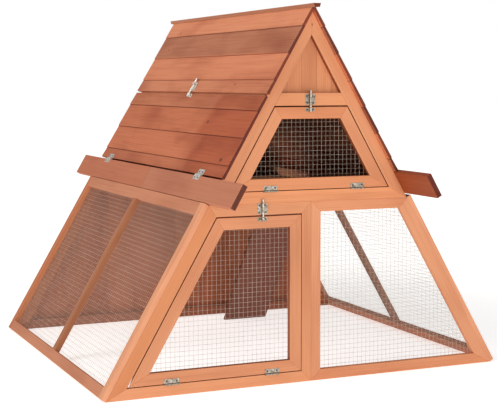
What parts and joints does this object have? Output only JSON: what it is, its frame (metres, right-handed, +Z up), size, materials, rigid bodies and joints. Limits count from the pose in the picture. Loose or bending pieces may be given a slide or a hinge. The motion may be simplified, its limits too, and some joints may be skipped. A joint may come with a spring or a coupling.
{
  "type": "chicken coop",
  "caption": "Wooden A-frame chicken coop: mesh run below, boarded house above, hinged front doors and roof flap with barrel bolts, ramp, carrying handle boards.",
  "frame": {"origin": "on the ground, under the middle of the coop", "axes": "+Z up; -Y out of the front with the two doors; +Y along the ridge to the back; +X to the right seen from the front, so the roof flap is on the -X side"},
  "size_m": [1.1636, 1.356, 1.0033],
  "materials": {
    "frame_wood": "sawn and planed fir with an orange-brown stain",
    "roof_wood": "fir boards with a red-brown stain",
    "handle_wood": "planed fir board with a red-brown stain",
    "wall_wood": "fir boards with a brown stain",
    "inner_wood": "sawn fir, stained",
    "plywood": "plain plywood",
    "wire_mesh": "galvanised welded wire",
    "plated_steel": "zinc-plated pressed steel"
  },
  "bodies": {
    "root": {"front_left_rails": "frame_wood", "front_left_stiles": "frame_wood", "front_right_rails": "frame_wood", "front_right_stiles": "frame_wood", "front_window_mesh": "wire_mesh", "gable_rafters": "frame_wood", "gable_rails": "frame_wood", "gable_boards": "wall_wood", "left_side_stiles": "frame_wood", "left_side_rails": "frame_wood", "left_side_muntin": "frame_wood", "left_side_mesh": "wire_mesh", "right_side_stiles": "frame_wood", "right_side_rails": "frame_wood", "right_side_muntin": "frame_wood", "right_side_mesh": "wire_mesh", "back_rails": "frame_wood", "back_stiles": "frame_wood", "back_gable_rafters": "frame_wood", "back_gable_rail": "frame_wood", "back_wall_boards": "wall_wood", "back_gable_boards": "wall_wood", "left_roof_boards": "roof_wood", "right_roof_boards": "roof_wood", "roof_purlins": "inner_wood", "ridge_cap": "roof_wood", "left_handle_board": "handle_wood", "right_handle_board": "handle_wood", "house_floor": "plywood", "floor_bearers": "inner_wood", "ramp_board": "inner_wood", "ramp_cleats": "inner_wood", "lower_door_fixed_leaves": "plated_steel", "upper_door_fixed_leaves": "plated_steel", "flap_fixed_leaves": "plated_steel", "hinge_pins": "plated_steel", "lower_bolt_housing": "plated_steel", "upper_bolt_housing": "plated_steel", "roof_bolt_housing": "plated_steel", "root_screws": "plated_steel"},
    "lower_door": {"lower_door_rails": "frame_wood", "lower_door_stiles": "frame_wood", "lower_door_mesh": "wire_mesh", "lower_door_hinge_leaves": "plated_steel", "lower_bolt_keeper": "plated_steel", "lower_door_screws": "plated_steel"},
    "upper_door": {"upper_door_rails": "frame_wood", "upper_door_stiles": "frame_wood", "upper_door_mesh": "wire_mesh", "upper_door_hinge_leaves": "plated_steel", "upper_bolt_keeper": "plated_steel", "upper_door_screws": "plated_steel"},
    "roof_flap": {"flap_boards": "roof_wood", "flap_battens": "inner_wood", "flap_hinge_leaves": "plated_steel", "roof_bolt_keeper": "plated_steel", "flap_screws": "plated_steel"},
    "lower_bolt": {"lower_bolt": "plated_steel"},
    "upper_bolt": {"upper_bolt": "plated_steel"},
    "roof_bolt": {"roof_bolt": "plated_steel"}
  },
  "joints": [
    {"name": "lower_door_hinge", "type": "hinge", "parent": "root", "child": "lower_door", "pos_m": [0, -0.5126, 0.0295], "axis": [1, 0, 0], "range_deg": [0, 93]},
    {"name": "upper_door_hinge", "type": "hinge", "parent": "root", "child": "upper_door", "pos_m": [0, -0.5126, 0.512], "axis": [1, 0, 0], "range_deg": [0, 160]},
    {"name": "roof_flap_hinge", "type": "hinge", "parent": "root", "child": "roof_flap", "pos_m": [-0.26671, 0, 0.55052], "axis": [0, -1, 0], "range_deg": [0, 160]},
    {"name": "lower_bolt_slide", "type": "slide", "parent": "root", "child": "lower_bolt", "axis": [0, 0, 1], "range_m": [-0.014, 0]},
    {"name": "upper_bolt_slide", "type": "slide", "parent": "root", "child": "upper_bolt", "axis": [0, 0, 1], "range_m": [-0.014, 0]},
    {"name": "roof_bolt_slide", "type": "slide", "parent": "root", "child": "roof_bolt", "axis": [0.5, 0, 0.866], "range_m": [-0.014, 0]}
  ]
}
